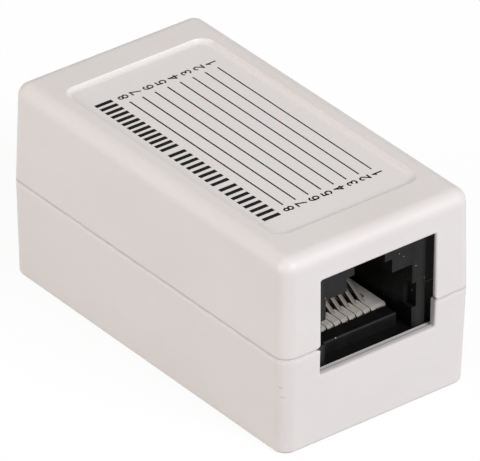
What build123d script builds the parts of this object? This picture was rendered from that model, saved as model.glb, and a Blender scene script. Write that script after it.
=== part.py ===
from build123d import *
from math import radians, tan
import os

# RJ45 inline coupler: a two-part moulded box with a modular socket in each end.
# X runs through both sockets, Y across the box, Z up. The origin is under the middle of the box.
# All sizes are in millimetres. "Depth" is measured back from a socket's face.

# Box, outside
box_length = 48.3
box_width = 26.0
box_height = 24.3
parting_height = 12.2
upper_draft = 1.1
lower_draft = 1.2
# the top edges have the corners' radius, so that they meet in a ball
corner_radius = 1.64
bottom_edge_radius = 0.47

# Box, walls and the joint between the halves
wall = 1.3
floor_thickness = 1.5
roof_thickness = 1.6
inner_corner_radius = 0.9
rim_edge_radius = 0.14
tongue_height = 0.9
tongue_thickness = 0.55
tongue_clearance = 0.06

# Shallow recess in the top, which carries the wiring print
recess_end_margin = 5.15
recess_side_margin = 2.95
recess_depth = 0.45
recess_corner_radius = 1.8
recess_wall_draft = 35.0
recess_edge_radius = 0.8

# Windows in both ends
window_width = 15.74
window_above_board = 0.86
window_height = 11.76
window_corner_radius = 0.25
window_edge_radius = 0.28
sill_step = 0.06
jamb_step = 1.1
lower_step_depth = 0.85
upper_step_depth = 0.5
upper_jamb_radius = 0.5
lower_jamb_radius = 0.25

# Two pins of the upper half, pressed into the bosses of the lower half between the sockets
boss_diameter = 3.4
boss_wall_overlap = 0.15
pin_diameter = 1.9
pin_length = 3.6
pin_clearance = 0.03
boss_gap = 0.3
pin_lead_in = 0.35

# Ribs inside the box
rib_thickness = 1.1
rib_clearance = 0.12
rib_inset = 2.2
middle_rib_offset = 2.4
clamp_rib_length = 8.0
clamp_rib_spacing = 8.0
clamp_gap = 0.05
solder_room = 9.6
root = 0.3

# Circuit board
board_thickness = 1.6
board_end_gap = 1.15
board_width = 16.0
board_corner_radius = 0.6
board_hole_clearance = 0.06
boss_clearance = 0.2
locating_post_diameter = 3.0
locating_pin_diameter = 1.8
locating_pin_height = 1.4
locating_pin_spacing = 11.0

# Socket housing
face_recess = 1.75
roof_gap = 1.4
housing_width = 15.9
housing_height = 13.4
housing_depth = 18.2
housing_edge_radius = 0.25
socket_width = 11.9
socket_top_above_base = 8.72
socket_floor_thickness = 0.7
front_wall = 1.4
plug_depth = 12.2
side_notch_width = 13.1
side_notch_above_base = 3.2
side_notch_height = 3.05
lip_width = 10.0
lip_thickness = 0.35
lip_height_above_base = 2.28
lip_edge_radius = 0.25
mouth_floor_below_lip = 0.08
keyway_width = 6.24
keyway_height = 1.7
latch_slot_width = 4.2
latch_slot_height = 3.6
latch_pocket_clearance = 0.2
latch_pocket_depth = 11.0
rear_core_width = 12.6
rear_core_height = 2.4
rear_core_wall = 1.1
peg_diameter = 3.2
peg_spacing = 11.43
peg_depth = 8.9
peg_length = 2.3
peg_chamfer = 0.4
snap_depth = 14.2
snap_length = 2.0
snap_height = 1.6
snap_above_base = 4.2
snap_bump = 0.4

# Contacts
contact_count = 8
contact_pitch = 1.016
contact_width = 0.5
contact_thickness = 0.35
contact_top_above_base = 2.3
nose_depth = 3.4
flat_length = 2.0
arm_angle = 30.0
arm_reach = 8.0
arm_bend_radius = 1.2
tail_depth_near = 14.5
tail_depth_far = 17.04
tail_bend_radius = 0.45
tail_below_board = 0.6
tail_hole_diameter = 0.9

# Contact carrier
tongue_core = 0.35
groove_clearance = 0.03
groove_depth = 0.3
rail_width = 1.0
carrier_width = 10.8
nose_bar_length = 2.3
nose_setback = 0.3
nose_flat = 0.02
carrier_clearance = 0.12
comb_slot_clearance = 0.06
comb_slot_depth = 1.5
comb_slot_height = 5.6

# Solder cones under the board
solder_radius = 0.72
solder_tip_radius = 0.36
solder_height = 0.5

# Faces this near to a wanted place are taken to be at it
tolerance = 0.01

# Heights and places that follow from the sizes above: the sockets hang a set gap below the roof
jack_face = box_length / 2 - face_recess
inner_width = box_width - 2 * wall
inner_length = box_length - 2 * wall
roof_underside = box_height - roof_thickness
board_top = roof_underside - roof_gap - housing_height
board_bottom = board_top - board_thickness
board_length = inner_length - 2 * board_end_gap
recess_length = box_length - 2 * recess_end_margin
recess_width = box_width - 2 * recess_side_margin
housing_top = board_top + housing_height
socket_top = board_top + socket_top_above_base
socket_floor = board_top + socket_floor_thickness
window_bottom = board_top + window_above_board
window_top = window_bottom + window_height
contact_top = board_top + contact_top_above_base
groove_floor = contact_top - contact_thickness
carrier_floor = groove_floor + groove_depth
carrier_under = groove_floor - tongue_core
arm_line = contact_top - contact_thickness / 2
run_line = carrier_under - contact_thickness / 2
carrier_bottom = board_top + carrier_clearance
carrier_top = socket_top - carrier_clearance
pin_y = inner_width / 2 + boss_wall_overlap - boss_diameter / 2
rib_x_end = jack_face - rib_inset
jack_middle = jack_face - housing_depth / 2
side_notch_bottom = board_top + side_notch_above_base
side_notch_top = side_notch_bottom + side_notch_height
latch_top = socket_top + latch_slot_height
lip_top = board_top + lip_height_above_base
mouth_floor = lip_top - mouth_floor_below_lip
snap_centre = board_top + snap_above_base
nose_front = nose_depth + nose_setback
nose_radius = (carrier_floor - carrier_under - nose_flat) / 2
core_centre_x = jack_face - nose_depth - contact_thickness - tongue_core / 2
core_centre_z = groove_floor - tongue_core / 2
comb_top = groove_floor + comb_slot_height


def across(depth):
    """Plane across the +X socket at a depth behind its face: local x is Y, local y is Z."""
    return Plane(origin=(jack_face - depth, 0, 0), x_dir=(0, 1, 0), z_dir=(1, 0, 0))


def rectangle_from(left, bottom, right, top):
    """Rectangle between two corners, for the sketch that is open."""
    with Locations(((left + right) / 2, (bottom + top) / 2)):
        Rectangle(right - left, top - bottom)


def contact_y(number):
    """Place of a contact across the socket: number 1 is on the +Y side."""
    return ((contact_count + 1) / 2 - number) * contact_pitch


def tail_depth(number):
    """Tails stand in two rows, odd numbers in the near one."""
    return tail_depth_near if number % 2 else tail_depth_far


def rib_sketch(width):
    """Four cross ribs, two by each socket."""
    for rib_x in (rib_x_end, middle_rib_offset):
        with Locations((-rib_x, 0), (rib_x, 0)):
            Rectangle(rib_thickness, width)


def side_rib_sketch():
    """The cross ribs where they stand beside the sockets: the middle is left open."""
    rib_sketch(inner_width + 2 * root)
    Rectangle(inner_length, housing_width + 2 * rib_clearance, mode=Mode.SUBTRACT)


def window_outline(shell):
    """Edges round the windows on the end faces of one half."""
    near_face = box_length / 2 - upper_step_depth / 2
    return shell.edges().filter_by(
        lambda edge: abs(edge.center().X) > near_face
        and abs(edge.tangent_at(0.5).X) < tolerance
        and abs(edge.center().Y) < window_width / 2 + tolerance
        and window_bottom - tolerance < edge.center().Z < window_top + tolerance
    )


def jamb_corner_sketch(side, radius, direction):
    """Waste outside the round where a jamb meets the parting face, above it or below it."""
    corner_y = side * window_width / 2
    with Locations((corner_y + side * radius / 2, parting_height + direction * radius / 2)):
        Rectangle(radius, radius)
    with Locations((corner_y + side * radius, parting_height + direction * radius)):
        Circle(radius, mode=Mode.SUBTRACT)


def pin_places():
    """The two pins of the box."""
    return GridLocations(0, 2 * pin_y, 1, 2)


# Room of both windows, cut from the two halves alike: it widens by a step inside each wall, and
# the step is nearer the face in the upper half
with BuildPart() as window_room:
    with BuildSketch(Plane.YZ):
        with Locations((0, (window_bottom + window_top) / 2)):
            RectangleRounded(window_width, window_height, window_corner_radius)
    extrude(amount=box_length, both=True)
    jamb_side = window_width / 2 + jamb_step
    with BuildSketch(Plane.YZ):
        rectangle_from(-jamb_side, window_bottom - sill_step, jamb_side, window_top + sill_step)
    extrude(amount=box_length / 2 - lower_step_depth, both=True)
    with BuildSketch(Plane.YZ):
        rectangle_from(-jamb_side, parting_height, jamb_side, window_top + sill_step)
    extrude(amount=box_length / 2 - upper_step_depth, both=True)

# Waste at the jambs, which are rounded where the halves meet
with BuildPart() as jamb_waste:
    with BuildSketch(Plane.YZ):
        for side in (-1, 1):
            jamb_corner_sketch(side, upper_jamb_radius, 1)
            jamb_corner_sketch(side, lower_jamb_radius, -1)
    extrude(amount=box_length, both=True)

# Upper half of the box: drafted walls, a rounded top edge and a shallow recess for the print
with BuildPart() as upper_shell:
    with BuildSketch(Plane.XY.offset(parting_height)):
        Rectangle(box_length, box_width)
    extrude(amount=box_height - parting_height, taper=upper_draft)
    uprights = upper_shell.edges().filter_by(lambda edge: abs(edge.tangent_at(0.5).Z) > 0.9)
    fillet(uprights + upper_shell.faces().sort_by(Axis.Z)[-1].edges(), corner_radius)
    fillet(upper_shell.faces().sort_by(Axis.Z)[0].edges(), rim_edge_radius)
    with BuildSketch(Plane.XY.offset(parting_height)):
        RectangleRounded(inner_length, inner_width, inner_corner_radius)
    extrude(amount=roof_underside - parting_height, taper=upper_draft, mode=Mode.SUBTRACT)
    with BuildSketch(Plane.XY.offset(box_height)):
        RectangleRounded(recess_length, recess_width, recess_corner_radius)
    extrude(amount=-recess_depth, taper=recess_wall_draft, mode=Mode.SUBTRACT)
    recess_floor = upper_shell.faces().filter_by(Axis.Z).filter_by(
        lambda face: abs(face.center().Z - box_height + recess_depth) < tolerance
    )
    fillet(recess_floor.edges(), recess_edge_radius)
    # ribs beside the sockets and clamp ribs that bear on them
    with BuildSketch(Plane.XY.offset(parting_height + boss_gap)):
        side_rib_sketch()
    extrude(amount=roof_underside - parting_height - boss_gap + root)
    with BuildSketch(Plane.XY.offset(housing_top + clamp_gap)):
        with GridLocations(2 * jack_middle, clamp_rib_spacing, 2, 2):
            Rectangle(clamp_rib_length, rib_thickness)
    extrude(amount=roof_underside - housing_top - clamp_gap + root)
    # bosses and their pins
    with BuildSketch(Plane.XY.offset(parting_height + boss_gap)):
        with pin_places():
            Circle(boss_diameter / 2)
    extrude(amount=roof_underside - parting_height - boss_gap + root)
    with BuildSketch(Plane.XY.offset(parting_height + boss_gap)):
        with pin_places():
            Circle(pin_diameter / 2)
    extrude(amount=-pin_length - boss_gap)
    pin_ends = upper_shell.faces().filter_by(Axis.Z).sort_by(Axis.Z)[:2]
    chamfer(pin_ends.edges(), pin_lead_in)
    # groove for the rim of the lower half
    with BuildSketch(Plane.XY.offset(parting_height)):
        groove_width = tongue_thickness + tongue_clearance
        RectangleRounded(
            inner_length + 2 * groove_width,
            inner_width + 2 * groove_width,
            inner_corner_radius + groove_width,
        )
        RectangleRounded(
            inner_length - 2 * root,
            inner_width - 2 * root,
            inner_corner_radius,
            mode=Mode.SUBTRACT,
        )
    extrude(amount=tongue_height + tongue_clearance, mode=Mode.SUBTRACT)
    add(window_room.part, mode=Mode.SUBTRACT)
    fillet(window_outline(upper_shell), window_edge_radius)
    add(jamb_waste.part, mode=Mode.SUBTRACT)

# Lower half of the box: floor, cross ribs that carry the board, bosses and a rim
with BuildPart() as lower_shell:
    with BuildSketch(Plane.XY.offset(parting_height)):
        Rectangle(box_length, box_width)
    extrude(amount=-parting_height, taper=lower_draft)
    uprights = lower_shell.edges().filter_by(lambda edge: abs(edge.tangent_at(0.5).Z) > 0.9)
    fillet(uprights, corner_radius)
    fillet(lower_shell.faces().sort_by(Axis.Z)[0].edges(), bottom_edge_radius)
    fillet(lower_shell.faces().sort_by(Axis.Z)[-1].edges(), rim_edge_radius)
    with BuildSketch(Plane.XY.offset(parting_height)):
        RectangleRounded(inner_length, inner_width, inner_corner_radius)
    extrude(amount=floor_thickness - parting_height, taper=lower_draft, mode=Mode.SUBTRACT)
    with BuildSketch(Plane.XY.offset(parting_height - root)):
        RectangleRounded(
            inner_length + 2 * tongue_thickness,
            inner_width + 2 * tongue_thickness,
            inner_corner_radius + tongue_thickness,
        )
        RectangleRounded(inner_length, inner_width, inner_corner_radius, mode=Mode.SUBTRACT)
    extrude(amount=tongue_height + root)
    # cross ribs: low under the board and open round the solder, high beside the sockets
    with BuildSketch(Plane.XY.offset(floor_thickness - root)):
        rib_sketch(inner_width)
        Rectangle(2 * middle_rib_offset + 2 * rib_thickness, solder_room, mode=Mode.SUBTRACT)
    extrude(amount=board_bottom - floor_thickness + root)
    with BuildSketch(Plane.XY.offset(floor_thickness - root)):
        side_rib_sketch()
    extrude(amount=parting_height - floor_thickness + root)
    # bosses with holes for the pins
    with BuildSketch(Plane.XY.offset(floor_thickness - root)):
        with pin_places():
            Circle(boss_diameter / 2)
    extrude(amount=parting_height - floor_thickness + root)
    with BuildSketch(Plane.XY.offset(parting_height)):
        with pin_places():
            Circle(pin_diameter / 2 + pin_clearance)
    extrude(amount=-pin_length - boss_gap, mode=Mode.SUBTRACT)
    # two stepped posts that locate the board between the sockets
    with BuildSketch(Plane.XY.offset(floor_thickness - root)):
        with GridLocations(0, locating_pin_spacing, 1, 2):
            Circle(locating_post_diameter / 2)
    extrude(amount=board_bottom - floor_thickness + root)
    with BuildSketch(Plane.XY.offset(board_bottom)):
        with GridLocations(0, locating_pin_spacing, 1, 2):
            Circle(locating_pin_diameter / 2)
    extrude(amount=locating_pin_height)
    add(window_room.part, mode=Mode.SUBTRACT)
    fillet(window_outline(lower_shell), window_edge_radius)
    add(jamb_waste.part, mode=Mode.SUBTRACT)

# Circuit board with holes for the socket pegs, the locating pins and the contact tails, clear of
# the bosses beside it
with BuildPart() as circuit_board:
    with BuildSketch(Plane.XY.offset(board_bottom)):
        RectangleRounded(board_length, board_width, board_corner_radius)
        with GridLocations(2 * (jack_face - peg_depth), peg_spacing, 2, 2):
            Circle(peg_diameter / 2 + board_hole_clearance, mode=Mode.SUBTRACT)
        with GridLocations(0, locating_pin_spacing, 1, 2):
            Circle(locating_pin_diameter / 2 + board_hole_clearance, mode=Mode.SUBTRACT)
        with pin_places():
            Circle(boss_diameter / 2 + boss_clearance, mode=Mode.SUBTRACT)
        for contact in range(1, contact_count + 1):
            tail_x = jack_face - tail_depth(contact)
            with Locations((tail_x, contact_y(contact)), (-tail_x, -contact_y(contact))):
                Circle(tail_hole_diameter / 2, mode=Mode.SUBTRACT)
    extrude(amount=board_thickness)

# Socket housing: front wall with the plug opening, keyway and latch slot, the latch pocket
# behind it, a lip and a floor in front of the contacts, an open bay at the back for the carrier,
# two pegs below
with BuildPart() as jack_housing_front:
    with BuildSketch(across(0)):
        rectangle_from(-housing_width / 2, board_top, housing_width / 2, housing_top)
    extrude(amount=-housing_depth)
    front_face = jack_housing_front.faces().sort_by(Axis.X)[-1]
    long_edges = jack_housing_front.edges().filter_by(Axis.X).sort_by(Axis.Z)[2:]
    fillet(long_edges + front_face.edges().sort_by(Axis.Z)[1:], housing_edge_radius)
    with BuildSketch(across(0)):
        rectangle_from(-socket_width / 2, socket_floor, socket_width / 2, socket_top)
        rectangle_from(-side_notch_width / 2, side_notch_bottom, side_notch_width / 2, side_notch_top)
        rectangle_from(-keyway_width / 2, socket_top, keyway_width / 2, socket_top + keyway_height)
        rectangle_from(-latch_slot_width / 2, socket_top, latch_slot_width / 2, latch_top)
    extrude(amount=-front_wall, mode=Mode.SUBTRACT)
    with BuildSketch(across(front_wall)):
        rectangle_from(-socket_width / 2, socket_floor, socket_width / 2, socket_top)
    extrude(amount=front_wall - plug_depth, mode=Mode.SUBTRACT)
    with BuildSketch(across(front_wall)):
        pocket_side = keyway_width / 2 + latch_pocket_clearance
        rectangle_from(-pocket_side, socket_top, pocket_side, latch_top)
    extrude(amount=front_wall - latch_pocket_depth, mode=Mode.SUBTRACT)
    with BuildSketch(across(plug_depth)):
        rectangle_from(-socket_width / 2, board_top, socket_width / 2, socket_top)
    extrude(amount=plug_depth - housing_depth, mode=Mode.SUBTRACT)
    with BuildSketch(across(latch_pocket_depth + rear_core_wall)):
        core_bottom = socket_top + rear_core_wall
        rectangle_from(-rear_core_width / 2, core_bottom, rear_core_width / 2, core_bottom + rear_core_height)
    extrude(amount=latch_pocket_depth + rear_core_wall - housing_depth, mode=Mode.SUBTRACT)
    # lip across the mouth, and the floor behind it, on which the plug slides up to the contacts
    with BuildSketch(across(front_wall)):
        rectangle_from(-lip_width / 2, board_top, lip_width / 2, lip_top)
    extrude(amount=-lip_thickness)
    with BuildSketch(across(front_wall)):
        rectangle_from(-lip_width / 2, board_top, lip_width / 2, mouth_floor)
    extrude(amount=front_wall + carrier_clearance - nose_depth)
    lip_edge = jack_housing_front.edges().filter_by(Axis.Y).filter_by(
        lambda edge: abs(edge.center().Z - lip_top) < tolerance
    )
    fillet(lip_edge.sort_by(Axis.X)[-1], lip_edge_radius)
    # snap windows in the side walls
    with BuildSketch(Plane.XZ):
        with Locations((jack_face - snap_depth, snap_centre)):
            Rectangle(snap_length, snap_height)
    extrude(amount=housing_width, both=True, mode=Mode.SUBTRACT)
    # pegs
    with BuildSketch(Plane.XY.offset(board_top)):
        with Locations((jack_face - peg_depth, 0)):
            with GridLocations(0, peg_spacing, 1, 2):
                Circle(peg_diameter / 2)
    extrude(amount=-peg_length)
    chamfer(jack_housing_front.faces().sort_by(Axis.Z)[:2].edges(), peg_chamfer)

# Contact carrier: a nose that the contacts wrap round, two rails, and a comb block at the back
with BuildPart() as contact_carrier_front:
    with BuildSketch(across(plug_depth + carrier_clearance)):
        block_side = socket_width / 2 - carrier_clearance
        rectangle_from(-block_side, carrier_bottom, block_side, carrier_top)
    extrude(amount=plug_depth + carrier_clearance - housing_depth)
    # nose and rails, with the open bay that the contacts are pressed into
    with BuildSketch(across(nose_front)):
        rectangle_from(-carrier_width / 2, carrier_under, carrier_width / 2, carrier_floor)
    extrude(amount=nose_front - plug_depth - carrier_clearance)
    nose_edges = contact_carrier_front.faces().sort_by(Axis.X)[-1].edges().filter_by(Axis.Y)
    fillet(nose_edges, nose_radius)
    with BuildSketch(across(nose_front + nose_bar_length)):
        bay_side = carrier_width / 2 - rail_width
        rectangle_from(-bay_side, carrier_under, bay_side, carrier_floor)
    extrude(amount=nose_front + nose_bar_length - plug_depth - carrier_clearance, mode=Mode.SUBTRACT)
    for contact in range(1, contact_count + 1):
        # groove over the nose: what is left there is the core that the contact wraps
        with BuildSketch(Plane.XZ.offset(-contact_y(contact))):
            groove_end = jack_face - nose_front - nose_bar_length
            rectangle_from(groove_end, carrier_under, jack_face - nose_depth, carrier_floor)
            with Locations((core_centre_x, core_centre_z)):
                Circle(tongue_core / 2, mode=Mode.SUBTRACT)
            with Locations(((groove_end + core_centre_x) / 2, core_centre_z)):
                Rectangle(core_centre_x - groove_end, tongue_core, mode=Mode.SUBTRACT)
        extrude(amount=contact_width / 2 + groove_clearance, both=True, mode=Mode.SUBTRACT)
        # slot under the block for the run and the tail, and comb slot for the arm's free end
        with BuildSketch(Plane.XZ.offset(-contact_y(contact))):
            block_front = jack_face - plug_depth - carrier_clearance
            slot_end = jack_face - tail_depth(contact) - contact_thickness / 2 - groove_clearance
            rectangle_from(slot_end, carrier_bottom, block_front, carrier_under + groove_clearance)
            rectangle_from(block_front - comb_slot_depth, groove_floor, block_front, comb_top)
        extrude(amount=contact_width / 2 + comb_slot_clearance, both=True, mode=Mode.SUBTRACT)
    # snap bumps on both sides
    with BuildSketch(Plane.XZ):
        with Locations((jack_face - snap_depth, snap_centre)):
            Rectangle(snap_length - 2 * carrier_clearance, snap_height - 2 * carrier_clearance)
    extrude(amount=block_side + snap_bump, both=True)


def contact_solid(number, y):
    """One contact: tail, run below the nose, turn round the nose, flat, and sprung arm."""
    arm_rise = arm_reach * tan(radians(arm_angle))
    bend_x = jack_face - nose_depth - flat_length
    tail_x = jack_face - tail_depth(number)
    turn_x = jack_face - nose_depth - contact_thickness / 2
    turn_radius = (arm_line - run_line - nose_flat) / 2
    with BuildPart() as contact:
        with BuildLine(Plane.XZ.offset(-y)) as path:
            FilletPolyline(
                (tail_x, board_bottom - tail_below_board),
                (tail_x, run_line),
                (turn_x, run_line),
                (turn_x, arm_line),
                (bend_x, arm_line),
                (bend_x - arm_reach, arm_line + arm_rise),
                radius=[tail_bend_radius, turn_radius, turn_radius, arm_bend_radius],
            )
        start = Plane(origin=path.line @ 0, x_dir=(0, 1, 0), z_dir=path.line % 0)
        with BuildSketch(start):
            Rectangle(contact_width, contact_thickness)
        sweep(path=path.line)
    return contact.part


# Solder cones: one round each tail, below the board
with BuildPart() as solder_front:
    for contact in range(1, contact_count + 1):
        with Locations((jack_face - tail_depth(contact), contact_y(contact), board_bottom - solder_height / 2)):
            Cone(solder_tip_radius, solder_radius, solder_height)
            Box(contact_thickness, contact_width, solder_height, mode=Mode.SUBTRACT)

# The second socket is the first one turned round
with BuildPart() as jack_housing_rear:
    add(jack_housing_front.part.rotate(Axis.Z, 180))
with BuildPart() as contact_carrier_rear:
    add(contact_carrier_front.part.rotate(Axis.Z, 180))
with BuildPart() as solder_rear:
    add(solder_front.part.rotate(Axis.Z, 180))

pieces = {
    "upper_shell": upper_shell.part,
    "lower_shell": lower_shell.part,
    "circuit_board": circuit_board.part,
    "jack_housing_front": jack_housing_front.part,
    "jack_housing_rear": jack_housing_rear.part,
    "contact_carrier_front": contact_carrier_front.part,
    "contact_carrier_rear": contact_carrier_rear.part,
    "solder_front": solder_front.part,
    "solder_rear": solder_rear.part,
}
for contact in range(1, contact_count + 1):
    pieces[f"contact_front_{contact}"] = contact_solid(contact, contact_y(contact))
    mirrored = contact_count + 1 - contact
    turned = contact_solid(mirrored, contact_y(mirrored)).rotate(Axis.Z, 180)
    pieces[f"contact_rear_{contact}"] = turned

os.makedirs("parts", exist_ok=True)
for name, piece in pieces.items():
    piece.label = name
    export_step(piece, f"parts/{name}.step")
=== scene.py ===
"""RJ45 inline coupler: the finish of the moulded box, its sockets, contacts and wiring print.

Everything is in metres, in the frame of the CAD model: X runs through both sockets, Y across the
box and Z up, with the origin under the middle of the box.
"""

import math

import bpy
import numpy as np
from mathutils import Matrix, Vector


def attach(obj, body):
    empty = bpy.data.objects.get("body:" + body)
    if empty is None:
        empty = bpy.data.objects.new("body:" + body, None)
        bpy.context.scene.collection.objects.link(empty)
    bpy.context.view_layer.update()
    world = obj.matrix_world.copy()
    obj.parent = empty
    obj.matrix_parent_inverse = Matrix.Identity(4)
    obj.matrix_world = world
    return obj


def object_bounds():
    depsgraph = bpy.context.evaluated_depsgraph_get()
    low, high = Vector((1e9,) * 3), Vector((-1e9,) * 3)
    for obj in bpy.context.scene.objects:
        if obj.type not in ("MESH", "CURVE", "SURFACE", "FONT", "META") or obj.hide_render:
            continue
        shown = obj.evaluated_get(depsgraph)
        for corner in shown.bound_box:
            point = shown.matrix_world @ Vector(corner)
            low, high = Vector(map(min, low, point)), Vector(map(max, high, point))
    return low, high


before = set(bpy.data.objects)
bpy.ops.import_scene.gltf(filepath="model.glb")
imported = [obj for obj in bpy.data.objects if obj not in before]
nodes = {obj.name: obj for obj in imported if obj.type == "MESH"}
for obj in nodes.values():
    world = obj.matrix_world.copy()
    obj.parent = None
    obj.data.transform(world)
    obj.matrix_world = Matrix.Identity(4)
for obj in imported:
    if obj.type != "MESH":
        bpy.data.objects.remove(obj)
cad_low, cad_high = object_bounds()


# The box: two halves injection-moulded in warm white ABS from a spark-eroded mould, which leaves a
# fine even grain. They are pressed together, and the joint between them holds a little dust. The
# fronts of the ribs that hold the sockets are painted near black as shade.
box_white = (0.695, 0.660, 0.634)
box_shade = (0.677, 0.640, 0.612)
box_rough = (0.42, 0.54)
flow_size = 0.009
flow_stretch = (0.5, 1, 1)
sheen_size = 0.0016
grain_size = 0.00022
grain_bump = (0.000012, 0.35)
wave_size = 0.0045
wave_bump = (0.00004, 0.25)
noise_wide = (0.3, 0.7)
noise_narrow = (0.35, 0.65)
end_on = (0.5, 0.9)

# The floor of the recess is a little paler.
pad_white = (0.714, 0.680, 0.660)
pad_reach = (0.0190, 0.01005)
pad_edge = 0.0002
pad_bottom = (0.0236, 0.0237)
pad_top = (cad_high.z - 0.0004, cad_high.z - 0.0002)

# The joint wavers a little, and just under it a pale line is painted as a highlight.
dust_and_shade = (0.34, 0.30, 0.27)
joint_height = 0.0122
joint_half_width = 0.00023
joint_share = 0.42
joint_end_gain = 1.25
joint_wobble = 0.00006
wobble_length = 0.0016
joint_highlight = (0.735, 0.705, 0.680)
highlight_drop = 0.00042

# Beside the near window the joint gapes, and its shade is painted there in near black, narrowing to
# nothing away from the window.
gape_shade = (0.022, 0.022, 0.020)
gape_side = 0.00787
gape_reach = 0.00095
gape_half = 0.00046
gape_start = (-0.0003, -0.0002)
gape_end = (0.0236, 0.0238)

# Shade is painted into the step of each sill and along its outer edge, where it dims the highlight.
sill_step_place = 0.0233
sill_step_half = 0.00016
sill_step_share = 0.85
sill_step_side = (0.0078, 0.0079)
sill_step_bottom = (0.0085, 0.0086)
sill_step_top = (0.0090, 0.0091)
sill_edge_share = 0.3
sill_edge_tilt = (0.15, 0.5)
sill_edge_bottom = (0.0060, 0.0062)
sill_edge_top = (0.0092, 0.0094)

# The fronts of the ribs, painted near black as shade.
rib_shade = (0.135, 0.130, 0.125)
rib_front = (0.0203, 0.0204)
rib_back = (0.0210, 0.0212)

# Flecks all over, a clot of dust in the joint, and two nicks in the near corner: each with its
# place, its reach and how much dust it holds.
fleck_spacing = 0.0035
fleck_amount = 0.05
fleck_share = 0.35
speck_reach = (0.05, 0.11)
clot_place = (-0.0065, -0.0129, 0.01215)
clot_reach = 0.00042
clot_share = 0.3
clot_stretch = (1, 1, 1.6)
nick_stretch = (1, 1, 2.2)
nick_bump = (0.00008, 0.5)
corner_nicks = (
    ((0.02328, -0.01273, 0.00860), 0.00034, 0.34),
    ((0.02345, -0.01258, 0.00730), 0.00044, 0.14),
)


def new_finish(name):
    """A new material: returns it with its node tree and its shader."""
    material = bpy.data.materials.new(name)
    material.use_nodes = True
    tree = material.node_tree
    return material, tree, tree.nodes["Principled BSDF"]


def lumps(tree, size, detail=2.0, stretch=(1, 1, 1)):
    """Noise over the piece, in lumps about size metres across, longer where stretch is under 1."""
    place = tree.nodes.new("ShaderNodeTexCoord")
    turn = tree.nodes.new("ShaderNodeMapping")
    turn.inputs["Scale"].default_value = stretch
    noise = tree.nodes.new("ShaderNodeTexNoise")
    noise.inputs["Scale"].default_value = 1 / size
    noise.inputs["Detail"].default_value = detail
    tree.links.new(place.outputs["Object"], turn.inputs["Vector"])
    tree.links.new(turn.outputs["Vector"], noise.inputs["Vector"])
    return noise.outputs["Fac"]


def between(tree, value, span, first, last):
    """A number that goes from first to last as value goes over the span, and no further."""
    spread = tree.nodes.new("ShaderNodeMapRange")
    spread.inputs["From Min"].default_value = span[0]
    spread.inputs["From Max"].default_value = span[1]
    spread.inputs["To Min"].default_value = first
    spread.inputs["To Max"].default_value = last
    tree.links.new(value, spread.inputs["Value"])
    return spread.outputs["Result"]


def over(tree, value, span, most=1):
    """0 where value is under the span, most where it is over it, and a slope within it."""
    return between(tree, value, span, 0, most)


def under(tree, value, span, most=1):
    """The reverse of over: most where value is under the span, 0 where it is over it."""
    return between(tree, value, span, most, 0)


def sum_of(tree, operation, first, second=0):
    """The result of a plain sum of two values or numbers."""
    node = tree.nodes.new("ShaderNodeMath")
    node.operation = operation
    for socket, value in zip(node.inputs, (first, second)):
        if isinstance(value, (int, float)):
            socket.default_value = value
        else:
            tree.links.new(value, socket)
    return node.outputs["Value"]


def product(tree, value, *others):
    """A value times others, so that a mask holds only where all of them do."""
    for other in others:
        value = sum_of(tree, "MULTIPLY", value, other)
    return value


def shade(tree, share, first, second):
    """A colour that goes from first to second, each a colour or an output, as share goes to 1. The
    Mix node has a set of sockets for each kind of value, and its colours come after the others."""
    mix = tree.nodes.new("ShaderNodeMix")
    mix.data_type = "RGBA"
    tree.links.new(share, mix.inputs["Factor"])
    for socket, colour in ((mix.inputs[6], first), (mix.inputs[7], second)):
        if isinstance(colour, tuple):
            socket.default_value = (*colour, 1)
        else:
            tree.links.new(colour, socket)
    return mix.outputs[2]


def specks(tree, size, amount):
    """Sparse round specks: 1 in the middle of a few cells that are size metres across, else 0."""
    place = tree.nodes.new("ShaderNodeTexCoord")
    cells = tree.nodes.new("ShaderNodeTexVoronoi")
    cells.inputs["Scale"].default_value = 1 / size
    tree.links.new(place.outputs["Object"], cells.inputs["Vector"])
    split = tree.nodes.new("ShaderNodeSeparateColor")
    tree.links.new(cells.outputs["Color"], split.inputs["Color"])
    chosen = sum_of(tree, "LESS_THAN", split.outputs["Red"], amount)
    return product(tree, chosen, under(tree, cells.outputs["Distance"], speck_reach))


def place_axis(tree, axis):
    """The place along X, Y or Z on the piece, in metres."""
    place = tree.nodes.new("ShaderNodeTexCoord")
    split = tree.nodes.new("ShaderNodeSeparateXYZ")
    tree.links.new(place.outputs["Object"], split.inputs["Vector"])
    return split.outputs[axis]


def off_middle(tree, axis):
    """How far from the middle of the box a point lies along X or Y, either way, in metres."""
    return sum_of(tree, "ABSOLUTE", place_axis(tree, axis))


def facing(tree, axis):
    """How squarely a face looks along an axis, either way: 1 straight on, 0 side on."""
    place = tree.nodes.new("ShaderNodeTexCoord")
    split = tree.nodes.new("ShaderNodeSeparateXYZ")
    tree.links.new(place.outputs["Normal"], split.inputs["Vector"])
    return sum_of(tree, "ABSOLUTE", split.outputs[axis])


def near_point(tree, point, stretch, reach):
    """1 near a point of the piece, down to 0 at reach metres, or sooner along an axis whose stretch
    is over 1."""
    value = tree.nodes.new("ShaderNodeTexCoord").outputs["Object"]
    for operation, amount in (("SUBTRACT", point), ("MULTIPLY", stretch), ("LENGTH", None)):
        node = tree.nodes.new("ShaderNodeVectorMath")
        node.operation = operation
        tree.links.new(value, node.inputs[0])
        if amount is not None:
            node.inputs[1].default_value = amount
        value = node.outputs["Value" if operation == "LENGTH" else "Vector"]
    return under(tree, value, (reach / 3, reach))


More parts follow.
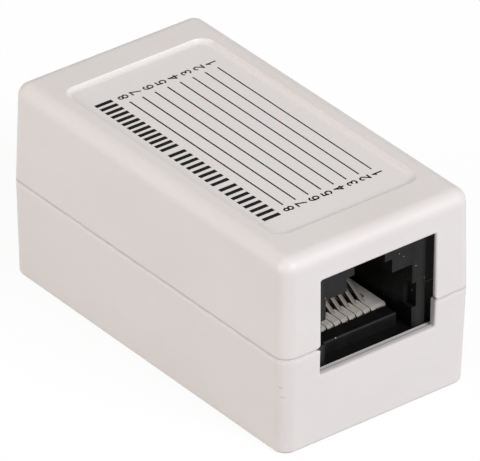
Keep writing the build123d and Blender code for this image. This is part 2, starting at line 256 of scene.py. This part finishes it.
def lay_on(tree, shader, colour, noise, roughness, *bumps):
    """Gives a shader its colour, a roughness that goes from the first to the second number as the
    noise grows, and bumps one on another: each a height from 0 to 1, its depth and its strength."""
    tree.links.new(colour, shader.inputs["Base Color"])
    tree.links.new(between(tree, noise, noise_wide, *roughness), shader.inputs["Roughness"])
    normal = None
    for height, (depth, strength) in bumps:
        bump = tree.nodes.new("ShaderNodeBump")
        bump.inputs["Distance"].default_value = depth
        bump.inputs["Strength"].default_value = strength
        tree.links.new(height, bump.inputs["Height"])
        if normal is not None:
            tree.links.new(normal, bump.inputs["Normal"])
        normal = bump.outputs["Normal"]
    tree.links.new(normal, shader.inputs["Normal"])


def wear(material, node_names):
    """Gives CAD nodes their material."""
    for name in node_names:
        nodes[name].data.materials.clear()
        nodes[name].data.materials.append(material)


box_finish, tree, shader = new_finish("moulded_white_abs")
shader.inputs["IOR"].default_value = 1.5
shader.inputs["Specular IOR Level"].default_value = 0.5
shader.inputs["Subsurface Weight"].default_value = 0.06
shader.inputs["Subsurface Scale"].default_value = 0.0008
flow = lumps(tree, flow_size, detail=3.0, stretch=flow_stretch)
colour = shade(tree, over(tree, flow, noise_narrow), box_white, box_shade)

along, across, height = off_middle(tree, "X"), off_middle(tree, "Y"), place_axis(tree, "Z")
on_end = over(tree, facing(tree, "X"), end_on)
in_pad = product(tree, over(tree, height, pad_bottom), under(tree, height, pad_top))
for distance, reach in zip((along, across), pad_reach):
    in_pad = product(tree, in_pad, under(tree, distance, (reach - pad_edge, reach)))
colour = shade(tree, in_pad, colour, pad_white)

wobble = between(tree, lumps(tree, wobble_length), noise_wide, -joint_wobble, joint_wobble)
over_joint = sum_of(tree, "ADD", sum_of(tree, "SUBTRACT", height, joint_height), wobble)
from_joint = sum_of(tree, "ABSOLUTE", over_joint)
from_highlight = sum_of(tree, "ABSOLUTE", sum_of(tree, "ADD", over_joint, highlight_drop))
# Painted highlight: a pale line just under the joint.
colour = shade(tree, under(tree, from_highlight, (0, highlight_drop / 2)), colour, joint_highlight)
end_gain = between(tree, facing(tree, "X"), end_on, 1, joint_end_gain)
in_joint = product(tree, under(tree, from_joint, (0, joint_half_width), joint_share), end_gain)
colour = shade(tree, in_joint, colour, dust_and_shade)

beside = sum_of(tree, "SUBTRACT", product(tree, place_axis(tree, "Y"), -1), gape_side)
narrowing = under(tree, beside, (0, gape_reach))
opening = product(tree, narrowing, narrowing, gape_half)
# Painted shade in the gape of the joint beside the near window.
in_gape_shade = product(
    tree,
    sum_of(tree, "LESS_THAN", from_joint, opening),
    over(tree, beside, gape_start),
    over(tree, place_axis(tree, "X"), gape_end),
)
colour = shade(tree, in_gape_shade, colour, gape_shade)
flecks = product(tree, specks(tree, fleck_spacing, fleck_amount), fleck_share)
colour = shade(tree, flecks, colour, dust_and_shade)

# Painted shade in the step of each sill.
from_step = sum_of(tree, "ABSOLUTE", sum_of(tree, "SUBTRACT", along, sill_step_place))
step_shade = product(
    tree,
    under(tree, from_step, (sill_step_half / 2, sill_step_half), sill_step_share),
    under(tree, across, sill_step_side),
    over(tree, height, sill_step_bottom),
    under(tree, height, sill_step_top),
)
colour = shade(tree, step_shade, colour, dust_and_shade)
# Painted shade on the outer edge of each sill, dimming its highlight.
sill_edge_shade = product(
    tree,
    over(tree, facing(tree, "X"), sill_edge_tilt, sill_edge_share),
    over(tree, facing(tree, "Z"), sill_edge_tilt),
    over(tree, height, sill_edge_bottom),
    under(tree, height, sill_edge_top),
)
colour = shade(tree, sill_edge_shade, colour, dust_and_shade)
# Painted shade: the fronts of the ribs beside the sockets are made near black.
rib_shade_mask = product(tree, over(tree, along, rib_front), under(tree, along, rib_back), on_end)
colour = shade(tree, rib_shade_mask, colour, rib_shade)

clot = product(tree, near_point(tree, clot_place, clot_stretch, clot_reach), clot_share)
colour = shade(tree, clot, colour, dust_and_shade)
whole = 1
for point, reach, share in corner_nicks:
    nick = near_point(tree, point, nick_stretch, reach)
    colour = shade(tree, product(tree, nick, share), colour, dust_and_shade)
    whole = sum_of(tree, "MINIMUM", whole, sum_of(tree, "SUBTRACT", 1, nick))

waves = lumps(tree, wave_size, detail=1.0)
grain = lumps(tree, grain_size)
sheen = lumps(tree, sheen_size, detail=3.0)
bumps = (waves, wave_bump), (grain, grain_bump), (whole, nick_bump)
lay_on(tree, shader, colour, sheen, box_rough, *bumps)
wear(box_finish, ["upper_shell", "lower_shell"])


# The two sockets: moulded in black glass-filled polyester, with a satin skin, faint flow marks and
# the odd fleck of dust from handling. Their front faces are painted lighter towards the sides, as
# light.
socket_black = (0.0068, 0.0069, 0.0069)
socket_skin = (0.0112, 0.0112, 0.0108)
socket_rough = (0.34, 0.50)
socket_flow_size = 0.0014
socket_flow_stretch = (0.35, 1, 1)
socket_flow_range = (0.35, 0.7)
socket_flow_bump = (0.00002, 0.3)
socket_sheen_size = 0.0008
socket_grain_size = 0.00012
socket_grain_bump = (0.000006, 0.35)
socket_deep = (0.0022, 0.0022, 0.0024)
deep_share = 0.6
deep_top = (0.0096, 0.0106)
deep_side = (0.0058, 0.0064)
socket_face_light = (0.034, 0.034, 0.033)
face_light_side = (0.0060, 0.0077)
dust_grey = (0.52, 0.51, 0.49)
dust_spacing = 0.0008
dust_amount = 0.20
dust_share = 0.8

socket_finish, tree, shader = new_finish("black_socket_polyester")
shader.inputs["Specular IOR Level"].default_value = 0.17
flow = lumps(tree, socket_flow_size, detail=4.0, stretch=socket_flow_stretch)
colour = shade(tree, over(tree, flow, socket_flow_range), socket_black, socket_skin)
across = off_middle(tree, "Y")
low = under(tree, place_axis(tree, "Z"), deep_top, deep_share)
colour = shade(tree, product(tree, low, under(tree, across, deep_side)), colour, socket_deep)
# Painted light: the front faces are lighter towards the sides.
face_light = product(tree, over(tree, across, face_light_side), over(tree, facing(tree, "X"), end_on))
colour = shade(tree, face_light, colour, socket_face_light)
dust = product(tree, specks(tree, dust_spacing, dust_amount), dust_share)
colour = shade(tree, dust, colour, dust_grey)
sheen = lumps(tree, socket_sheen_size, detail=3.0)
bumps = (flow, socket_flow_bump), (lumps(tree, socket_grain_size), socket_grain_bump)
lay_on(tree, shader, colour, sheen, socket_rough, *bumps)
wear(socket_finish, ["jack_housing_front", "jack_housing_rear"])


# The contact carriers: moulded in pale natural nylon, slightly see-through, and snapped into the
# sockets. They look tanned between the contacts, and their noses are painted grey as shade.
nylon_pale = (0.60, 0.590, 0.560)
nylon_deep = (0.50, 0.490, 0.460)
nylon_rough = (0.34, 0.46)
nylon_cloud_size = 0.0022
nylon_grain_size = 0.00015
nylon_grain_bump = (0.000006, 0.3)
nylon_tanned = (0.62, 0.570, 0.495)
tanned_side = (0.0038, 0.0046)
tanned_share = (0.75, 0.15)
nose_shade = (0.30, 0.290, 0.270)
nose_tilt = (0.1, 0.7)
nose_start = (0.0182, 0.0184)

nylon_finish, tree, shader = new_finish("natural_nylon")
shader.inputs["Subsurface Weight"].default_value = 0.15
shader.inputs["Subsurface Scale"].default_value = 0.0006
cloud = lumps(tree, nylon_cloud_size, detail=3.0)
colour = shade(tree, over(tree, cloud, noise_wide), nylon_pale, nylon_deep)
tanned = between(tree, off_middle(tree, "Y"), tanned_side, *tanned_share)
colour = shade(tree, tanned, colour, nylon_tanned)
past_nose = over(tree, off_middle(tree, "X"), nose_start)
# Painted shade: the noses are made grey where they face along X.
shaded_nose = product(tree, over(tree, facing(tree, "X"), nose_tilt), past_nose)
colour = shade(tree, shaded_nose, colour, nose_shade)
grain = lumps(tree, nylon_grain_size)
lay_on(tree, shader, colour, cloud, nylon_rough, (grain, nylon_grain_bump))
wear(nylon_finish, ["contact_carrier_front", "contact_carrier_rear"])


# The contacts: stamped from phosphor-bronze strip with a dull nickel plating. The sprung arms are
# painted brown as shade, darker towards one edge, and the tips are painted dull as shade. Their
# edges are bare, and rolling left faint lines along them.
plating_pale = (0.720, 0.670, 0.585)
plating_dull = (0.600, 0.555, 0.480)
plating_rough = (0.52, 0.66)
rolled_size = 0.0003
rolled_stretch = (0.12, 2.5, 0.12)
rolled_bump = (0.000004, 0.3)
contact_pitch = 0.001016
arm_shade_pale = (0.34, 0.305, 0.265)
arm_shade_brown = (0.20, 0.175, 0.145)
arm_top = (0.0169, 0.0174)
arm_shade_side = (0.28, 0.7)
tip_shade = (0.27, 0.255, 0.225)
tip_start = (0.0184, 0.0185)
tip_tilt = (0.2, 0.8)
bare_bronze = (0.115, 0.088, 0.064)
bare_tilt = (0.6, 0.8)
ends = ("front", "rear")
contact_numbers = range(1, 9)

contact_finish, tree, shader = new_finish("plated_bronze")
shader.inputs["Metallic"].default_value = 0.25
shader.inputs["Specular IOR Level"].default_value = 0.25
rolled = lumps(tree, rolled_size, detail=3.0, stretch=rolled_stretch)
colour = shade(tree, over(tree, rolled, noise_wide), plating_pale, plating_dull)
along = off_middle(tree, "X")
on_width = sum_of(tree, "FRACT", sum_of(tree, "DIVIDE", place_axis(tree, "Y"), contact_pitch))
# Painted shade: the sprung arms are darker, and darker still towards one edge.
shaded_arm = shade(tree, over(tree, on_width, arm_shade_side), arm_shade_pale, arm_shade_brown)
colour = shade(tree, under(tree, along, arm_top), colour, shaded_arm)
# Painted shade: the tips are dimmed where they face along X.
shaded_tip = product(tree, over(tree, facing(tree, "X"), tip_tilt), over(tree, along, tip_start))
colour = shade(tree, shaded_tip, colour, tip_shade)
colour = shade(tree, over(tree, facing(tree, "Y"), bare_tilt), colour, bare_bronze)
lay_on(tree, shader, colour, rolled, plating_rough, (rolled, rolled_bump))
wear(contact_finish, [f"contact_{end}_{n}" for end in ends for n in contact_numbers])


# The circuit board: green solder mask over copper tracks that run straight from socket to socket,
# one to a contact, on a tan glass laminate that shows at the sawn edges and in the drilled holes.
mask_green = (0.012, 0.115, 0.045)
mask_over_copper = (0.035, 0.200, 0.075)
mask_rough = (0.30, 0.45)
mask_level = (0.4, 0.6)
laminate_tan = (0.42, 0.36, 0.19)
laminate_dark = (0.30, 0.25, 0.12)
weave_size = 0.0004
weave_stretch = (1, 1, 0.2)
weave_bump = (0.00001, 0.3)
track_share = 0.42
track_edge = 0.03
track_row = (3.95, 4.0)
track_bump = (0.00003, 0.6)

board_finish, tree, shader = new_finish("masked_laminate")
shader.inputs["Coat Weight"].default_value = 0.4
shader.inputs["Coat Roughness"].default_value = 0.15
in_pitches = sum_of(tree, "DIVIDE", place_axis(tree, "Y"), contact_pitch)
within_pitch = sum_of(tree, "SUBTRACT", sum_of(tree, "FRACT", in_pitches), 0.5)
track_sides = (track_share / 2 - track_edge, track_share / 2 + track_edge)
track = product(
    tree,
    under(tree, sum_of(tree, "ABSOLUTE", within_pitch), track_sides),
    under(tree, sum_of(tree, "ABSOLUTE", in_pitches), track_row),
)
weave = lumps(tree, weave_size, stretch=weave_stretch)
masked = shade(tree, track, mask_green, mask_over_copper)
cut = shade(tree, over(tree, weave, noise_narrow), laminate_tan, laminate_dark)
colour = shade(tree, over(tree, facing(tree, "Z"), mask_level), cut, masked)
lay_on(tree, shader, colour, weave, mask_rough, (track, track_bump), (weave, weave_bump))
wear(board_finish, ["circuit_board"])


# The solder cones: bright tin alloy that ran up the contact tails under the board and froze with a
# slightly crazed skin.
tin_bright = (0.70, 0.70, 0.69)
tin_dull = (0.47, 0.46, 0.44)
tin_rough = (0.18, 0.40)
crazed_size = 0.00025
crazed_bump = (0.00001, 0.4)

solder_finish, tree, shader = new_finish("tin_solder")
shader.inputs["Metallic"].default_value = 1.0
crazed = lumps(tree, crazed_size, detail=4.0)
colour = shade(tree, over(tree, crazed, noise_narrow), tin_bright, tin_dull)
lay_on(tree, shader, colour, crazed, tin_rough, (crazed, crazed_bump))
wear(solder_finish, ["solder_front", "solder_rear"])


# The wiring print: one pass of black ink, pad-printed on the floor of the recess, a little askew.
# Eight straight lines show that each contact is wired to the same number at the other end. The ink
# is faint on the far numerals.
ink_black = (0.0075, 0.0065, 0.0058)
ink_thin = (0.020, 0.0175, 0.016)
ink_rough = (0.40, 0.58)
ink_cloud_size = 0.00028
ink_thin_range = (0.5, 0.75)
ink_grain_size = 0.00008
ink_grain_bump = (0.000004, 0.4)
ink_faint = (0.078, 0.071, 0.066)
faint_end = (-0.0138, -0.0134)
faint_side = (-0.0060, -0.0056)
ink_thickness = 0.000012
recess_depth = 0.00045
recess_floor = cad_high.z - recess_depth
print_turn = -0.0035
line_pitch = 0.001732
line_widths = np.linspace(0.000163, 0.000188, len(contact_numbers))
first_line_y = 0.00727
line_ends = (-0.01325, 0.01362)

ink_finish, tree, shader = new_finish("black_print_ink")
shader.inputs["Specular IOR Level"].default_value = 0.03
thin = lumps(tree, ink_cloud_size, detail=4.0)
colour = shade(tree, over(tree, thin, ink_thin_range), ink_black, ink_thin)
at_far_end = under(tree, place_axis(tree, "X"), faint_end)
faint = product(tree, at_far_end, over(tree, place_axis(tree, "Y"), faint_side))
colour = shade(tree, faint, colour, ink_faint)
lay_on(tree, shader, colour, thin, ink_rough, (lumps(tree, ink_grain_size), ink_grain_bump))


def solid_from(name, points, faces, material):
    """A mesh object from arrays of points and faces, riding on the box."""
    mesh = bpy.data.meshes.new(name)
    mesh.from_pydata(points.tolist(), [], faces)
    mesh.validate()
    mesh.update()
    piece = bpy.data.objects.new(name, mesh)
    bpy.context.scene.collection.objects.link(piece)
    mesh.materials.append(material)
    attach(piece, "root")


def askew(points):
    """The print's points turned by print_turn about the middle of the box."""
    cosine, sine = math.cos(print_turn), math.sin(print_turn)
    turned = points[:, :2] @ np.array([[cosine, sine], [-sine, cosine]])
    return np.column_stack([turned, points[:, 2]])


def ink_bars(boxes):
    """Flat bars of ink. Each bar is x from a to b and y from c to d on the recess floor, with a
    top ink_thickness higher: eight corners, each either the low or the high end of every axis."""
    boxes = np.asarray(boxes, float)
    floors = np.full(len(boxes), recess_floor)
    low = np.column_stack([boxes[:, 0], boxes[:, 2], floors])
    high = np.column_stack([boxes[:, 1], boxes[:, 3], floors + ink_thickness])
    ring = [[0, 0], [1, 0], [1, 1], [0, 1]]
    pick = np.array([[*corner, level] for level in (0, 1) for corner in ring])
    points = low[:, None, :] + pick[None, :, :] * (high - low)[:, None, :]
    around = [[k, (k + 1) % 4, (k + 1) % 4 + 4, k + 4] for k in range(4)]
    sides = np.array([[0, 3, 2, 1], [4, 5, 6, 7], *around])
    faces = sides[None, :, :] + 8 * np.arange(len(boxes))[:, None, None]
    return askew(points.reshape(-1, 3)), faces.reshape(-1, 4).tolist()


line_y = first_line_y - line_pitch * np.arange(len(contact_numbers))
line_boxes = [(*line_ends, y - width / 2, y + width / 2) for y, width in zip(line_y, line_widths)]
solid_from("wiring_lines", *ink_bars(line_boxes), ink_finish)


# The contact numbers at both ends of the lines, printed in the same pass. They read from the far
# side of the box. Each numeral is drawn with a round pen, as paths on a field 1 wide and 1 high.
number_height = 0.00132
number_width = 0.00082
pen_width = 0.000205
number_places = (0.01461, -0.01445)
arc_points = 17


def arc(middle, reach, start, end):
    """Points of an oval arc: middle plus reach times cosine and sine, from start to end degrees."""
    angle = np.radians(np.linspace(start, end, arc_points))
    return np.array(middle) + np.array(reach) * np.column_stack([np.cos(angle), np.sin(angle)])


numeral_paths = {
    1: [[(0.24, 0.74), (0.56, 1)], [(0.56, 1), (0.56, 0)]],
    2: [np.vstack([arc((0.5, 0.72), (0.46, 0.28), 165, -35), [(0, 0)]]), [(0, 0), (1, 0)]],
    3: [arc((0.46, 0.76), (0.44, 0.24), 150, -90), arc((0.46, 0.26), (0.52, 0.26), 90, -150)],
    4: [[(0.70, 0), (0.70, 1)], [(0.70, 1), (0, 0.30)], [(0, 0.30), (1, 0.30)]],
    5: [
        [(0.92, 1), (0.16, 1)],
        [(0.16, 1), (0.08, 0.52)],
        arc((0.46, 0.32), (0.52, 0.32), 140, -150),
    ],
    6: [arc((0.58, 0.56), (0.56, 0.44), 42, 200), arc((0.50, 0.30), (0.48, 0.30), 0, 360)],
    7: [[(0.02, 1), (1, 1)], [(1, 1), (0.34, 0)]],
    8: [arc((0.50, 0.76), (0.40, 0.24), 0, 360), arc((0.50, 0.26), (0.50, 0.26), 0, 360)],
}


def pen_stroke(path, place):
    """A ribbon of ink: the pen's width is laid across the path at each of its points, square to the
    direction there, and the path is lengthened by half a pen at both ends."""
    field = np.array([number_width, number_height]) - pen_width
    line = (np.asarray(path, float) - 0.5) * field
    ahead = np.gradient(line, axis=0)
    ahead /= np.linalg.norm(ahead, axis=1)[:, None]
    line[0] -= ahead[0] * pen_width / 2
    line[-1] += ahead[-1] * pen_width / 2
    side = np.column_stack([-ahead[:, 1], ahead[:, 0]]) * pen_width / 2
    flat = np.stack([line - side, line + side], 1) * -1 + place
    count = len(line)
    points = np.empty((count, 2, 2, 3))
    points[..., :2] = flat[:, :, None, :]
    points[..., 2] = (recess_floor, recess_floor + ink_thickness)
    ring = np.array([0, 2, 3, 1])
    step = 4 * np.arange(count - 1)[:, None]
    sides = [
        np.column_stack([step + here, step + there, step + 4 + there, step + 4 + here])
        for here, there in zip(ring, np.roll(ring, -1))
    ]
    last = 4 * (count - 1)
    faces = np.concatenate(sides).tolist() + [ring[::-1].tolist(), (ring + last).tolist()]
    return points.reshape(-1, 3), faces


number_points, number_faces, count = [], [], 0
for number, y in zip(contact_numbers, line_y):
    for x in number_places:
        for path in numeral_paths[number]:
            points, faces = pen_stroke(path, (x, y))
            number_points.append(points)
            number_faces += [[corner + count for corner in face] for face in faces]
            count += len(points)
solid_from("wiring_numbers", askew(np.concatenate(number_points)), number_faces, ink_finish)


# A plain row of bold bars in three groups beside the lines. They are printed in the same pass and
# with the same ink.
bar_pitch = 0.00100
bar_width = 0.00054
bar_y = (-0.00850, -0.00622)
bar_groups = ((0.00703, 0.01506), (-0.00181, 0.00617), (-0.01486, -0.00272))

bar_boxes = []
for start, end in bar_groups:
    count = round((end - start - bar_width) / bar_pitch) + 1
    for x in np.linspace(start + bar_width / 2, end - bar_width / 2, count):
        bar_boxes.append((x - bar_width / 2, x + bar_width / 2, *bar_y))
solid_from("caption_bars", *ink_bars(bar_boxes), ink_finish)


# The studio: a pale floor and a white surround, which look white to the camera and in gloss, with
# two large soft lamps.
floor_size = 3.0
floor_drop = 0.00002
floor_pale = 0.45
floor_white = 0.92
surround_light = (0.410, 0.400, 0.378)
surround_white = (1, 1, 1)


def seen_directly(tree):
    """1 for rays from the camera, a mirror-like surface or glass, else 0."""
    rays = tree.nodes.new("ShaderNodeLightPath")
    seen = sum_of(tree, "MAXIMUM", rays.outputs["Is Camera Ray"], rays.outputs["Is Glossy Ray"])
    return sum_of(tree, "MAXIMUM", seen, rays.outputs["Is Transmission Ray"])


floor_finish, tree, shader = new_finish("studio_floor")
lifted = between(tree, seen_directly(tree), (0, 1), floor_pale, 1)
paint = tree.nodes.new("ShaderNodeCombineColor")
for channel in ("Red", "Green", "Blue"):
    tree.links.new(lifted, paint.inputs[channel])
tree.links.new(paint.outputs["Color"], shader.inputs["Base Color"])
shader.inputs["Roughness"].default_value = 0.9
white = tree.nodes.new("ShaderNodeEmission")
blend = tree.nodes.new("ShaderNodeMixShader")
tree.links.new(product(tree, seen_directly(tree), floor_white), blend.inputs["Fac"])
tree.links.new(shader.outputs["BSDF"], blend.inputs[1])
tree.links.new(white.outputs["Emission"], blend.inputs[2])
tree.links.new(blend.outputs["Shader"], tree.nodes["Material Output"].inputs["Surface"])
corners = np.array([[-1, -1, 0], [1, -1, 0], [1, 1, 0], [-1, 1, 0]]) * floor_size / 2
floor_mesh = bpy.data.meshes.new("studio_floor")
floor_mesh.from_pydata((corners - (0, 0, floor_drop)).tolist(), [], [(0, 1, 2, 3)])
floor_mesh.materials.append(floor_finish)
floor = bpy.data.objects.new("studio_floor", floor_mesh)
bpy.context.scene.collection.objects.link(floor)

world = bpy.data.worlds.new("studio_surround")
world.use_nodes = True
bpy.context.scene.world = world
tree = world.node_tree
glow = shade(tree, seen_directly(tree), surround_light, surround_white)
tree.links.new(glow, tree.nodes["Background"].inputs["Color"])

middle = Vector((0, 0, cad_high.z / 2))


def soft_lamp(name, place, size, power, colour):
    """A square lamp that faces the middle of the box."""
    light = bpy.data.lights.new(name, "AREA")
    light.size = size
    light.energy = power
    light.color = colour
    lamp = bpy.data.objects.new(name, light)
    lamp.location = place
    lamp.rotation_euler = (middle - Vector(place)).to_track_quat("-Z", "Y").to_euler()
    bpy.context.scene.collection.objects.link(lamp)


soft_lamp("lamp_end", (1.075, 0.254, 0.700), size=0.65, power=15.1, colour=(0.913, 0.925, 1.0))
soft_lamp("lamp_side", (-0.117, -0.472, 0.150), size=0.30, power=1.47, colour=(1.0, 0.953, 0.955))


# The camera: it looks down on the long side and the near socket from 0.9 m with a long lens, held
# a touch askew.
camera_turn = math.radians(51.388)
camera_rise = math.radians(31.769)
camera_roll = math.radians(0.635)
camera_distance = 0.905337
camera_lens = 624.064
sensor_width = 36.0
frame_width = 480
picture_offset = (-1.06, -0.493)

back = Vector((
    math.sin(camera_turn) * math.cos(camera_rise),
    -math.cos(camera_turn) * math.cos(camera_rise),
    math.sin(camera_rise),
))
level = Vector((math.cos(camera_turn), math.sin(camera_turn), 0))
upright = back.cross(level)
right = level * math.cos(camera_roll) + upright * math.sin(camera_roll)
up = upright * math.cos(camera_roll) - level * math.sin(camera_roll)
turn = Matrix((right, up, back)).transposed().to_4x4()

lens = bpy.data.cameras.new("photo_camera")
lens.sensor_fit = "HORIZONTAL"
lens.sensor_width = sensor_width
lens.lens = camera_lens
lens.shift_x = -picture_offset[0] / frame_width
lens.shift_y = picture_offset[1] / frame_width
lens.clip_start = 0.01
camera = bpy.data.objects.new("photo_camera", lens)
camera.matrix_world = Matrix.Translation(middle + back * camera_distance) @ turn
bpy.context.scene.collection.objects.link(camera)
bpy.context.scene.camera = camera
bpy.context.scene.view_settings.view_transform = "Standard"
